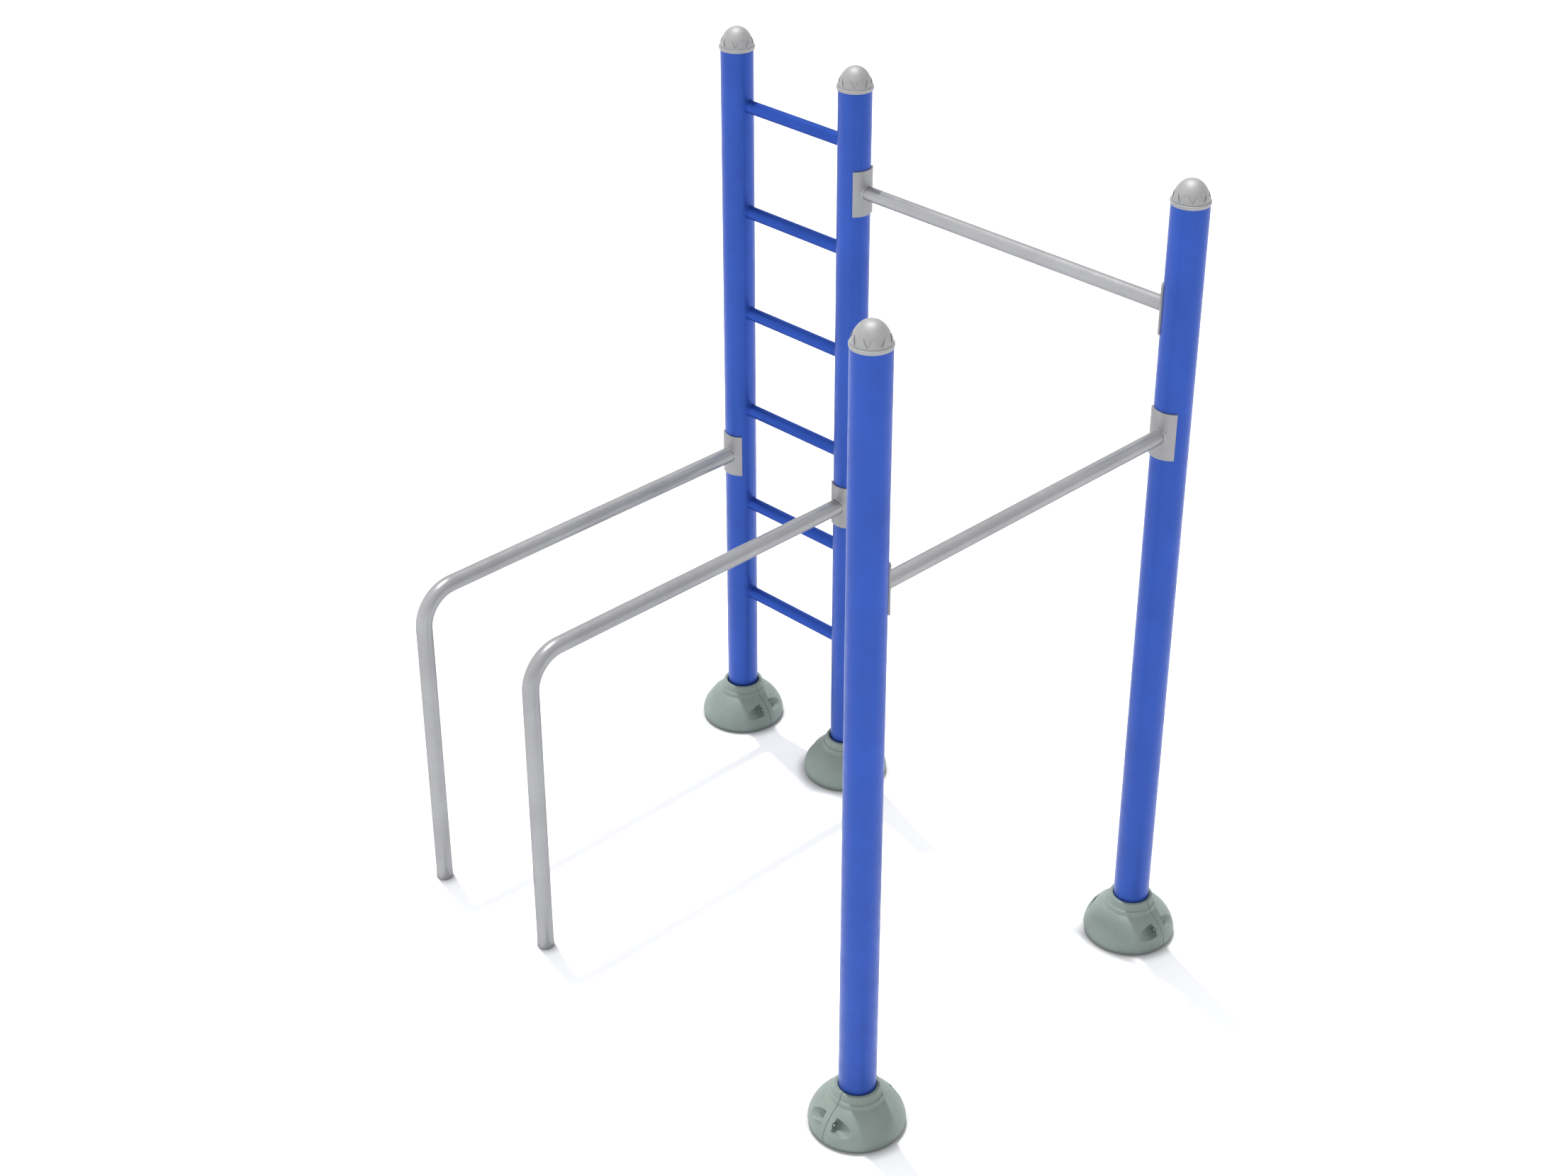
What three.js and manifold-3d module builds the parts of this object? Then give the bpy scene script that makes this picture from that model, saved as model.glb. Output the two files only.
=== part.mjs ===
// Outdoor climbing frame: a vertical ladder, two chin-up bars at different heights and a pair of
// parallel dip bars, carried by four round posts. Units are millimetres, +Z is up, and the ground is
// z = 0. +X runs along the ladder towards the corner post, and the dip bars run towards -Y.

import * as THREE from 'three';
import { mergeVertices } from 'three/addons/utils/BufferGeometryUtils.js';
import Module from 'manifold-3d';

const wasm = await Module();
wasm.setup();

// Plan of the frame, axis to axis.
const LADDER_SPACING = 432;
const HIGH_BAR_SPAN = 1063;
const LOW_BAR_SPAN = 1066;
const DIP_BAR_REACH = 1162;

// Heights of the bar axes above the ground.
const HIGH_BAR_HEIGHT = 1837;
const LOW_BAR_HEIGHT = 1521;
const DIP_BAR_HEIGHT = 909;
const RUNG_COUNT = 6;
const LOWEST_RUNG_HEIGHT = 447;
const RUNG_PITCH = 302;

// Tubes.
const LADDER_POST_RADIUS = 44.45;
const CORNER_POST_RADIUS = 46.7;
const POST_WALL = 3.2;
const POST_TOP = 2113;
const RUNG_RADIUS = 17.8;
const CHIN_BAR_RADIUS = 18.9;
const DIP_BAR_RADIUS = 22.3;
const BAR_WALL = 3;
const DIP_BAR_BEND_RADIUS = 98;

// Saddle plates that carry the bars on the posts.
const SADDLE_THICKNESS = 4.8;
const SADDLE_HEIGHT = 124;
const LOW_BAR_SADDLE_LIFT = 4;
const SADDLE_HALF_WRAP = THREE.MathUtils.degToRad(50);

// Flange under each post, with its anchor holes.
const FLANGE_RADIUS = 100;
const FLANGE_THICKNESS = 10;
const ANCHOR_HOLE_RADIUS = 9;
const ANCHOR_CIRCLE_RADIUS = 76;
const ANCHOR_HOLE_COUNT = 4;

// Dome cap: a skirt over the post, a spigot inside it, a hollow ogive dome and a crown of petals round it.
const CAP_RADIUS = 48.6;
const CAP_SKIRT_DROP = 5.5;
const CAP_LIP_HEIGHT = 9;
const CAP_LIP_CHAMFER = 0.8;
const DOME_RADIUS = 45.7;
const DOME_HEIGHT = 50;
const DOME_RISE_POWER = 1.355;
const DOME_WIDTH_POWER = 2.4;
const DOME_WALL = 3.5;
const SPIGOT_LENGTH = 30;
const SPIGOT_WALL = 3.4;
const DOME_FOOT_RADIUS = 43.1;
const DOME_WAIST_RADIUS = 37.6;
const DOME_WAIST_HEIGHT = 21.5;
const DOME_START_HEIGHT = 23;
const CROWN_ROOT = 1;
const PETAL_COUNT = 9;
const PETAL_FACETS = 4;
const PETAL_SHEET = 1.2;
const PETAL_OUTLINE = [[0, 45.1], [9.5, 43.9], [15.5, 42.2], [21.6, 39.4]];
const VALLEY_HEIGHT = 4;
const PETAL_RISE = 17.6;
const VALLEY_HEADING = THREE.MathUtils.degToRad(-49.7);
const END_CAP_TWIST = THREE.MathUtils.degToRad(-9);

// Two-piece cover round the foot of each post.
const COVER_RADIUS = 121;
const COVER_FOOT_RADIUS = 115.5;
const COVER_WIDEST_HEIGHT = 17;
const COVER_WALL = 4.5;
const COVER_BORE_RADIUS = 47.4;
const COVER_HEIGHT = 124;
const FLARE_CENTRE_RADIUS = 40;
const FLARE_RISE = 85;
const FLARE_POWER = 1.735;
const BAND_RADIUS = 70;
const BAND_TOP_RADIUS = 66.5;
const BAND_TOP_HEIGHT = 103.5;
const COLLAR_RADIUS = 61;
const COLLAR_TOP_RADIUS = 57;
const COLLAR_SHOULDER = 3;

// Pockets in the covers, and the bolt and nut that clamp each pair of halves.
const POCKET_RADIUS = 19;
const POCKET_LINE_RADIUS = 98.5;
const POCKET_LINE_HEIGHT = 61;
const POCKET_SEAT = 17.5;
const POCKET_SLANT = 0.15;
const POCKET_WALL = 3.5;
const POCKET_DEPTH = 90;
const POCKET_END = 200;
const HEAD_RECESS_RADIUS = 10.5;
const HEAD_RECESS = 3;
const NUT_RECESS_RADIUS = 7.2;
const NUT_RECESS = 6.5;
const BOLT_LINE_RADIUS = 94.5;
const BOLT_LINE_HEIGHT = 57.5;
const BOLT_HOLE_RADIUS = 3.7;
const BOLT_RADIUS = 3.1;
const BOLT_TIP = 1.5;
const HEX_ACROSS_FLATS = 11;
const HEAD_HEIGHT = 4.5;
const NUT_HEIGHT = 5.5;

// Facets, and the clearance left between pieces that touch.
const POST_SIDES = 20;
const BAR_SIDES = 12;
const SMALL_SIDES = 8;
const BEND_STEPS = 6;
const DOME_STEPS = 5;
const DOME_INSIDE_STEPS = 3;
const FLARE_STEPS = 5;
const FLARE_INSIDE_STEPS = 3;
const SADDLE_STEPS = 8;
const GAP = 0.3;
const FAR = 400;

const QUARTER_TURN = Math.PI / 2;

const ladderLeft = new THREE.Vector2(-(LADDER_SPACING + HIGH_BAR_SPAN) / 2, LOW_BAR_SPAN / 2);
const ladderRight = new THREE.Vector2(ladderLeft.x + LADDER_SPACING, ladderLeft.y);
const corner = new THREE.Vector2(-ladderLeft.x, ladderLeft.y);
const end = new THREE.Vector2(corner.x, -corner.y);

// Each post: where it stands, its radius, the turn of its foot cover and the twist of its cap crown.
const posts = [
  { name: 'ladder_left', at: ladderLeft, radius: LADDER_POST_RADIUS, coverTurn: 0, capTwist: 0 },
  { name: 'ladder_right', at: ladderRight, radius: LADDER_POST_RADIUS, coverTurn: 0, capTwist: 0 },
  { name: 'corner', at: corner, radius: CORNER_POST_RADIUS, coverTurn: 0, capTwist: 0 },
  { name: 'end', at: end, radius: CORNER_POST_RADIUS, coverTurn: QUARTER_TURN, capTwist: END_CAP_TWIST },
];

const bluePaint = { color: 0x405cbc, roughness: 0.42, metalness: 0 };
const greyPaint = { color: 0xb2b3b5, roughness: 0.45, metalness: 0.15 };
const greyCap = { color: 0xa9a9a9, roughness: 0.4, metalness: 0 };
const greenGreyPlastic = { color: 0x97a59e, roughness: 0.55, metalness: 0 };
const zincPlate = { color: 0xc3c6c4, roughness: 0.35, metalness: 0.9 };

const frame = new THREE.Group();

function addPiece(name, geometry, finish, x, y, z, turn = 0) {
  const piece = new THREE.Mesh(geometry, new THREE.MeshStandardMaterial(finish));
  piece.name = name;
  piece.position.set(x, y, z);
  piece.rotation.z = turn;
  frame.add(piece);
}

// Joining and cutting of closed shapes.

function solidOf(geometry) {
  const bare = geometry.clone();
  bare.deleteAttribute('normal');
  bare.deleteAttribute('uv');
  const merged = mergeVertices(bare, 0.0001);
  const corners = merged.index.array;
  const kept = [];
  for (let i = 0; i < corners.length; i += 3) {
    const [a, b, c] = [corners[i], corners[i + 1], corners[i + 2]];
    if (a !== b && b !== c && c !== a) kept.push(a, b, c);
  }
  const vertProperties = new Float32Array(merged.attributes.position.array);
  return new wasm.Manifold(new wasm.Mesh({ numProp: 3, vertProperties, triVerts: new Uint32Array(kept) }));
}

function geometryOf(solid) {
  const mesh = solid.getMesh();
  const geometry = new THREE.BufferGeometry();
  geometry.setAttribute('position', new THREE.BufferAttribute(new Float32Array(mesh.vertProperties), 3));
  geometry.setIndex(new THREE.BufferAttribute(new Uint32Array(mesh.triVerts), 1));
  geometry.computeVertexNormals();
  return geometry;
}

// Basic shapes. A profile is a list of [radius, height] points round the vertical axis.

function revolve(profile, sides = POST_SIDES) {
  const points = profile.map(([radius, height]) => new THREE.Vector2(radius, height));
  return new THREE.LatheGeometry(points, sides).rotateX(QUARTER_TURN);
}

function ring(outer, inner, bottom, top) {
  return revolve([[inner, bottom], [outer, bottom], [outer, top], [inner, top], [inner, bottom]]);
}

// Cuts away everything within a round upright surface, its flats lying just outside that surface.
function copeCutter(surfaceRadius, x, z) {
  const radius = (surfaceRadius + GAP) / Math.cos(Math.PI / POST_SIDES);
  const cutter = new THREE.CylinderGeometry(radius, radius, FAR, POST_SIDES);
  return cutter.rotateX(QUARTER_TURN).translate(x, 0, z);
}

// A round bar along Y from y = from to y = to.
function crosswiseCylinder(radius, sides, x, z, from, to) {
  const bar = new THREE.CylinderGeometry(radius, radius, to - from, sides);
  return bar.translate(x, (from + to) / 2, z);
}

function circlePoints(radius, sides) {
  const points = [];
  for (let i = 0; i < sides; i += 1) {
    const angle = (i / sides) * 2 * Math.PI;
    points.push(new THREE.Vector2(radius * Math.cos(angle), radius * Math.sin(angle)));
  }
  return points;
}

function tubeSection(radius) {
  const section = new THREE.Shape(circlePoints(radius, BAR_SIDES));
  section.holes.push(new THREE.Path(circlePoints(radius - BAR_WALL, BAR_SIDES)));
  return section;
}

// A path whose steps fall on chosen stations, so a straight stretch takes one step.
class StationPath extends THREE.Curve {
  constructor(stations) {
    super();
    this.stations = stations;
  }

  station(t) {
    return this.stations[Math.round(t * (this.stations.length - 1))];
  }

  getPointAt(t) {
    return this.station(t).point.clone();
  }

  getTangentAt(t) {
    return this.station(t).direction.clone();
  }
}

function tubeAlong(stations, radius) {
  const extrudePath = new StationPath(stations);
  return new THREE.ExtrudeGeometry(tubeSection(radius), { steps: stations.length - 1, extrudePath });
}

// A straight tube along X between two upright round surfaces, with both ends coped to sit on them.
function copedTube(radius, span, leftSeat, rightSeat) {
  const along = new THREE.Vector3(1, 0, 0);
  const ends = [new THREE.Vector3(-span / 2, 0, 0), new THREE.Vector3(span / 2, 0, 0)];
  const stations = ends.map((point) => ({ point, direction: along }));
  let tube = solidOf(tubeAlong(stations, radius));
  tube = tube.subtract(solidOf(copeCutter(leftSeat, -span / 2, 0)));
  tube = tube.subtract(solidOf(copeCutter(rightSeat, span / 2, 0)));
  return geometryOf(tube);
}

// Posts, flanges and caps.

function postTube(radius) {
  return ring(radius, radius - POST_WALL, FLANGE_THICKNESS + GAP, POST_TOP);
}

function flange() {
  const outline = new THREE.Shape(circlePoints(FLANGE_RADIUS, POST_SIDES));
  for (let i = 0; i < ANCHOR_HOLE_COUNT; i += 1) {
    const angle = ((i + 0.5) / ANCHOR_HOLE_COUNT) * 2 * Math.PI;
    const centre = new THREE.Vector2(Math.cos(angle), Math.sin(angle)).multiplyScalar(ANCHOR_CIRCLE_RADIUS);
    const hole = circlePoints(ANCHOR_HOLE_RADIUS, SMALL_SIDES).map((point) => point.add(centre));
    outline.holes.push(new THREE.Path(hole));
  }
  return new THREE.ExtrudeGeometry(outline, { depth: FLANGE_THICKNESS, bevelEnabled: false });
}

// The dome narrows slowly at first and then rounds over to its tip.
function domeWidth(rise) {
  return (1 - rise ** DOME_RISE_POWER) ** (1 / DOME_WIDTH_POWER);
}

// The dome from its starting height to its tip, for an outside radius and height.
function domeArc(radius, bottom, height, start, steps) {
  const startTurn = Math.asin(start / height);
  const points = [];
  for (let i = 0; i <= steps; i += 1) {
    const rise = Math.sin(startTurn + (i / steps) * (QUARTER_TURN - startTurn));
    points.push([i === steps ? 0 : radius * domeWidth(rise), bottom + height * rise]);
  }
  return points;
}

function petalRadius(height) {
  const above = Math.max(1, PETAL_OUTLINE.findIndex(([level]) => level >= height - 1e-6));
  const [lowLevel, lowRadius] = PETAL_OUTLINE[above - 1];
  const [highLevel, highRadius] = PETAL_OUTLINE[above];
  return THREE.MathUtils.mapLinear(height, lowLevel, highLevel, lowRadius, highRadius);
}

// A ring whose upper edge rises to nine petals. Local z = 0 is the top of the lip.
function petalCrown() {
  const rows = [[0, 0], [0, 0.4], [0, 0.75], [0, 1], [1, 1], [1, 0.6], [1, 0], [0, 0]];
  const crown = revolve(rows.map(([inside, share]) => [1 + inside, share]), PETAL_COUNT * PETAL_FACETS);
  const pitch = (2 * Math.PI) / PETAL_COUNT;
  const position = crown.getAttribute('position');
  for (let i = 0; i < position.count; i += 1) {
    const x = position.getX(i);
    const y = position.getY(i);
    const angle = Math.atan2(y, x) + QUARTER_TURN;
    const offset = angle - Math.round(angle / pitch) * pitch;
    const edge = VALLEY_HEIGHT + PETAL_RISE * Math.sin((Math.abs(offset) / pitch) * Math.PI);
    const height = edge * position.getZ(i);
    const inset = Math.hypot(x, y) > 1.5 ? PETAL_SHEET : 0;
    const radius = petalRadius(height) - inset;
    const z = position.getZ(i) < 0.01 ? -CROWN_ROOT : height;
    position.setXYZ(i, radius * Math.sin(angle), -radius * Math.cos(angle), z);
  }
  return crown;
}

// Local z = 0 is the top rim of the post. The crown is turned by twist.
function postCap(postRadius, twist) {
  const spigotRadius = postRadius - POST_WALL - GAP;
  const boreRadius = spigotRadius - SPIGOT_WALL;
  const lipTop = CAP_LIP_HEIGHT - CAP_SKIRT_DROP;
  const innerRadius = DOME_RADIUS - DOME_WALL;
  const innerHeight = DOME_HEIGHT - DOME_WALL;
  const inside = domeArc(innerRadius, lipTop, innerHeight, DOME_START_HEIGHT, DOME_INSIDE_STEPS);
  const body = solidOf(revolve([
    [boreRadius, -SPIGOT_LENGTH],
    [spigotRadius, -SPIGOT_LENGTH],
    [spigotRadius, GAP],
    [postRadius + GAP, GAP],
    [postRadius + GAP, -CAP_SKIRT_DROP],
    [CAP_RADIUS, -CAP_SKIRT_DROP],
    [CAP_RADIUS, lipTop - CAP_LIP_CHAMFER],
    [CAP_RADIUS - CAP_LIP_CHAMFER, lipTop],
    [DOME_FOOT_RADIUS, lipTop],
    [DOME_WAIST_RADIUS, lipTop + DOME_WAIST_HEIGHT],
    ...domeArc(DOME_RADIUS, lipTop, DOME_HEIGHT, DOME_START_HEIGHT, DOME_STEPS),
    ...inside.reverse(),
    [boreRadius, lipTop],
    [boreRadius, -SPIGOT_LENGTH],
  ]));
  const crown = petalCrown().rotateZ(VALLEY_HEADING + QUARTER_TURN + twist).translate(0, 0, lipTop);
  return geometryOf(body.add(solidOf(crown)));
}

// Foot covers. The seam is the plane y = 0, and the clamping bolts run along Y.

// Outside of the flare, from its widest height up to the band under the collar.
function flareArc(inset, steps) {
  const width = COVER_RADIUS - inset - FLARE_CENTRE_RADIUS;
  const bandShare = (BAND_RADIUS - inset - FLARE_CENTRE_RADIUS) / width;
  const lastAngle = Math.acos(bandShare ** (FLARE_POWER / 2));
  const points = [];
  for (let i = 0; i <= steps; i += 1) {
    const angle = (i / steps) * lastAngle;
    points.push([
      FLARE_CENTRE_RADIUS + width * Math.cos(angle) ** (2 / FLARE_POWER),
      COVER_WIDEST_HEIGHT + (FLARE_RISE - inset) * Math.sin(angle) ** (2 / FLARE_POWER),
    ]);
  }
  return points;
}

function coverOutside() {
  return [
    [COVER_FOOT_RADIUS, 0],
    ...flareArc(0, FLARE_STEPS),
    [BAND_TOP_RADIUS, BAND_TOP_HEIGHT],
    [COLLAR_RADIUS, BAND_TOP_HEIGHT + 1],
    [COLLAR_TOP_RADIUS, COVER_HEIGHT - COLLAR_SHOULDER],
    [COLLAR_TOP_RADIUS - COLLAR_SHOULDER, COVER_HEIGHT],
    [COVER_BORE_RADIUS, COVER_HEIGHT],
  ];
}

function coverInside() {
  return [
    [COVER_BORE_RADIUS, BAND_TOP_HEIGHT - COVER_WALL],
    [BAND_TOP_RADIUS - COVER_WALL, BAND_TOP_HEIGHT - COVER_WALL],
    ...flareArc(COVER_WALL, FLARE_INSIDE_STEPS).reverse(),
    [COVER_FOOT_RADIUS - COVER_WALL, 0],
  ];
}

// A round bar along Y on one side of the seam. from and to are distances out from the seam.
function sideBore(side, radius, sides, x, z, from, to) {
  const ends = [side * from, side * to].sort((a, b) => a - b);
  return crosswiseCylinder(radius, sides, x, z, ends[0], ends[1]);
}

// The pocket runs out through the flare, slanting away from the post. hand is 1 at +X and -1 at -X.
function pocketCutter(side, hand) {
  const x = hand * (POCKET_LINE_RADIUS - POCKET_SLANT * POCKET_SEAT);
  const z = POCKET_LINE_HEIGHT;
  const cutter = sideBore(side, POCKET_RADIUS, BAR_SIDES, x, z, POCKET_SEAT, POCKET_END);
  const slant = new THREE.Matrix4().makeShear(0, 0, side * hand * POCKET_SLANT, 0, 0, 0);
  return solidOf(cutter.applyMatrix4(slant));
}

// The boss round a pocket, before it is trimmed to the outside of the cover.
function pocketBoss(side, hand) {
  const x = hand * POCKET_LINE_RADIUS;
  const radius = POCKET_RADIUS + POCKET_WALL;
  return solidOf(sideBore(side, radius, BAR_SIDES, x, POCKET_LINE_HEIGHT, 0, POCKET_DEPTH));
}

// The recess in the pocket's seat and the hole for the bolt.
function boltBore(side, hand) {
  const x = hand * BOLT_LINE_RADIUS;
  const [radius, depth] = side > 0 ? [NUT_RECESS_RADIUS, NUT_RECESS] : [HEAD_RECESS_RADIUS, HEAD_RECESS];
  const z = BOLT_LINE_HEIGHT;
  const recess = sideBore(side, radius, BAR_SIDES, x, z, POCKET_SEAT - depth, POCKET_SEAT + GAP);
  const hole = sideBore(side, BOLT_HOLE_RADIUS, SMALL_SIDES, x, z, -GAP, POCKET_SEAT);
  return solidOf(recess).add(solidOf(hole));
}

// side is 1 for the half at +Y, which holds the nuts, and -1 for the half at -Y.
function coverHalf(side) {
  const outside = coverOutside();
  const filled = solidOf(revolve([[0, 0], ...outside, [0, COVER_HEIGHT]]));
  let half = solidOf(revolve([...outside, ...coverInside(), outside[0]]));
  for (const hand of [-1, 1]) {
    half = half.add(pocketBoss(side, hand).intersect(filled));
    half = half.subtract(pocketCutter(side, hand));
    half = half.subtract(boltBore(side, hand));
  }
  const keptSide = new THREE.BoxGeometry(FAR, FAR, FAR).translate(0, side * (FAR + GAP) / 2, 0);
  return geometryOf(half.intersect(solidOf(keptSide)));
}

function hexPrism(x, z, from, to) {
  return crosswiseCylinder(HEX_ACROSS_FLATS / Math.sqrt(3), 6, x, z, from, to);
}

// The bolt's head is at -Y. Local origin is on the seam plane, on the bolt's axis.
function coverBolt() {
  const seat = HEAD_RECESS - POCKET_SEAT - GAP;
  const tip = POCKET_SEAT - NUT_RECESS + GAP + NUT_HEIGHT + BOLT_TIP;
  const head = solidOf(hexPrism(0, 0, seat - HEAD_HEIGHT, seat));
  const shank = solidOf(crosswiseCylinder(BOLT_RADIUS, SMALL_SIDES, 0, 0, seat - HEAD_HEIGHT / 2, tip));
  return geometryOf(head.add(shank));
}

function coverNut() {
  const seat = POCKET_SEAT - NUT_RECESS + GAP;
  const hole = crosswiseCylinder(BOLT_RADIUS + GAP, SMALL_SIDES, 0, 0, seat - GAP, seat + NUT_HEIGHT + GAP);
  return geometryOf(solidOf(hexPrism(0, 0, seat, seat + NUT_HEIGHT)).subtract(solidOf(hole)));
}

// Saddle plates and bars.

// A curved plate on a post, centred on local +X, with its middle at local z = 0.
function saddlePlate(postRadius) {
  const inner = postRadius + GAP;
  const outer = inner + SADDLE_THICKNESS;
  const section = [];
  const addArc = (radius, direction) => {
    for (let i = 0; i <= SADDLE_STEPS; i += 1) {
      const angle = direction * (2 * (i / SADDLE_STEPS) - 1) * SADDLE_HALF_WRAP;
      section.push(new THREE.Vector2(radius * Math.cos(angle), radius * Math.sin(angle)));
    }
  };
  addArc(outer, 1);
  addArc(inner, -1);
  const outline = new THREE.Shape(section);
  const plate = new THREE.ExtrudeGeometry(outline, { depth: SADDLE_HEIGHT, bevelEnabled: false });
  return plate.translate(0, 0, -SADDLE_HEIGHT / 2);
}

function saddleFace(postRadius) {
  return postRadius + GAP + SADDLE_THICKNESS;
}

// A dip bar leaves its post along -Y, turns down on one bend and stands on the ground.
// Local origin is on the post's axis at ground level.
function dipBar() {
  const bendStart = DIP_BAR_REACH - DIP_BAR_BEND_RADIUS;
  const outward = new THREE.Vector3(0, -1, 0);
  const down = new THREE.Vector3(0, 0, -1);
  const stations = [{ point: new THREE.Vector3(0, 0, DIP_BAR_HEIGHT), direction: outward }];
  for (let i = 0; i <= BEND_STEPS; i += 1) {
    const angle = (i / BEND_STEPS) * QUARTER_TURN;
    const y = -bendStart - DIP_BAR_BEND_RADIUS * Math.sin(angle);
    const z = DIP_BAR_HEIGHT - DIP_BAR_BEND_RADIUS * (1 - Math.cos(angle));
    const direction = new THREE.Vector3(0, -Math.cos(angle), -Math.sin(angle));
    stations.push({ point: new THREE.Vector3(0, y, z), direction });
  }
  stations.push({ point: new THREE.Vector3(0, -DIP_BAR_REACH, 0), direction: down });
  const seat = solidOf(copeCutter(saddleFace(LADDER_POST_RADIUS), 0, DIP_BAR_HEIGHT));
  return geometryOf(solidOf(tubeAlong(stations, DIP_BAR_RADIUS)).subtract(seat));
}

for (const post of posts) {
  const { x, y } = post.at;
  addPiece(`post_${post.name}`, postTube(post.radius), bluePaint, x, y, 0);
  addPiece(`base_flange_${post.name}`, flange(), bluePaint, x, y, 0);
  addPiece(`post_cap_${post.name}`, postCap(post.radius, post.capTwist), greyCap, x, y, POST_TOP);
  addPiece(`base_cover_${post.name}_nut_half`, coverHalf(1), greenGreyPlastic, x, y, 0, post.coverTurn);
  addPiece(`base_cover_${post.name}_bolt_half`, coverHalf(-1), greenGreyPlastic, x, y, 0, post.coverTurn);
  for (const [label, side] of [['near', 1], ['far', -1]]) {
    const offset = new THREE.Vector2(side * BOLT_LINE_RADIUS, 0);
    offset.rotateAround(new THREE.Vector2(), post.coverTurn);
    const at = [x + offset.x, y + offset.y, BOLT_LINE_HEIGHT, post.coverTurn];
    addPiece(`cover_bolt_${post.name}_${label}`, coverBolt(), zincPlate, ...at);
    addPiece(`cover_nut_${post.name}_${label}`, coverNut(), zincPlate, ...at);
  }
}

for (let i = 0; i < RUNG_COUNT; i += 1) {
  const rung = copedTube(RUNG_RADIUS, LADDER_SPACING, LADDER_POST_RADIUS, LADDER_POST_RADIUS);
  const x = (ladderLeft.x + ladderRight.x) / 2;
  addPiece(`rung_${i + 1}`, rung, bluePaint, x, ladderLeft.y, LOWEST_RUNG_HEIGHT + i * RUNG_PITCH);
}

const ladderSeat = saddleFace(LADDER_POST_RADIUS);
const cornerSeat = saddleFace(CORNER_POST_RADIUS);
const highBar = copedTube(CHIN_BAR_RADIUS, HIGH_BAR_SPAN, ladderSeat, cornerSeat);
const lowBar = copedTube(CHIN_BAR_RADIUS, LOW_BAR_SPAN, cornerSeat, cornerSeat);
addPiece('chin_bar_high', highBar, greyPaint, (ladderRight.x + corner.x) / 2, corner.y, HIGH_BAR_HEIGHT);
addPiece('chin_bar_low', lowBar, greyPaint, corner.x, (corner.y + end.y) / 2, LOW_BAR_HEIGHT, QUARTER_TURN);
addPiece('dip_bar_left', dipBar(), greyPaint, ladderLeft.x, ladderLeft.y, 0);
addPiece('dip_bar_right', dipBar(), greyPaint, ladderRight.x, ladderRight.y, 0);

// Each saddle: its post's place and radius, the height of its middle and the way that the bar leaves.
const lowSaddleHeight = LOW_BAR_HEIGHT + LOW_BAR_SADDLE_LIFT;
const saddles = [
  ['saddle_high_bar_ladder', ladderRight, LADDER_POST_RADIUS, HIGH_BAR_HEIGHT, 0],
  ['saddle_high_bar_corner', corner, CORNER_POST_RADIUS, HIGH_BAR_HEIGHT, Math.PI],
  ['saddle_low_bar_corner', corner, CORNER_POST_RADIUS, lowSaddleHeight, -QUARTER_TURN],
  ['saddle_low_bar_end', end, CORNER_POST_RADIUS, lowSaddleHeight, QUARTER_TURN],
  ['saddle_dip_bar_left', ladderLeft, LADDER_POST_RADIUS, DIP_BAR_HEIGHT, -QUARTER_TURN],
  ['saddle_dip_bar_right', ladderRight, LADDER_POST_RADIUS, DIP_BAR_HEIGHT, -QUARTER_TURN],
];
for (const [name, at, postRadius, height, turn] of saddles) {
  addPiece(name, saddlePlate(postRadius), greyPaint, at.x, at.y, height, turn);
}

export default frame;
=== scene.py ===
"""Looks for the outdoor climbing frame: every CAD node gets a finer piece built in mesh code."""

import math

import bmesh
import bpy
import numpy as np
from mathutils import Matrix, Vector


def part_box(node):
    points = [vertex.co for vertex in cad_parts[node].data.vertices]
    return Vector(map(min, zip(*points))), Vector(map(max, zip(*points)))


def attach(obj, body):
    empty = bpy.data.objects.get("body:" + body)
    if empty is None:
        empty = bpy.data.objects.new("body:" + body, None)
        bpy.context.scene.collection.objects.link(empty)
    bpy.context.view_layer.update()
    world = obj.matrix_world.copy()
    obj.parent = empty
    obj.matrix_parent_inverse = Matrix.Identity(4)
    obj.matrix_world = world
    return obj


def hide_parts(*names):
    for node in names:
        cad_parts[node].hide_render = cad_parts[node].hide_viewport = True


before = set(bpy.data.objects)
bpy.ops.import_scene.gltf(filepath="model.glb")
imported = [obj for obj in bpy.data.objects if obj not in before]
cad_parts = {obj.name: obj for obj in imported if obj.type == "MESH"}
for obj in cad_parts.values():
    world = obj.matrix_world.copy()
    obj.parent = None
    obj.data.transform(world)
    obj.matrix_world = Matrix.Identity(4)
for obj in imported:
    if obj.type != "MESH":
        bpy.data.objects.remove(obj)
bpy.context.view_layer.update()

MM = 0.001
ROOT = "root"
POSTS = ("ladder_left", "ladder_right", "corner", "end")
RUNGS = 6
GAP = 0.3 * MM  # clearance that the frame leaves between pieces that touch
MERGE_DISTANCE = 1e-6
DEGENERATE_LENGTH = 1e-7


# ---------------------------------------------------------------- measures taken from the frame


def centre_of(node):
    lo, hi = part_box(node)
    return [(lo[i] + hi[i]) / 2 for i in range(3)]


def size_of(node):
    lo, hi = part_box(node)
    return [hi[i] - lo[i] for i in range(3)]


def post_at(name):
    """Axis x, axis y and radius of a post."""
    x, y, _ = centre_of("post_" + name)
    return x, y, size_of("post_" + name)[0] / 2


# ---------------------------------------------------------------- mesh building


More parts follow.
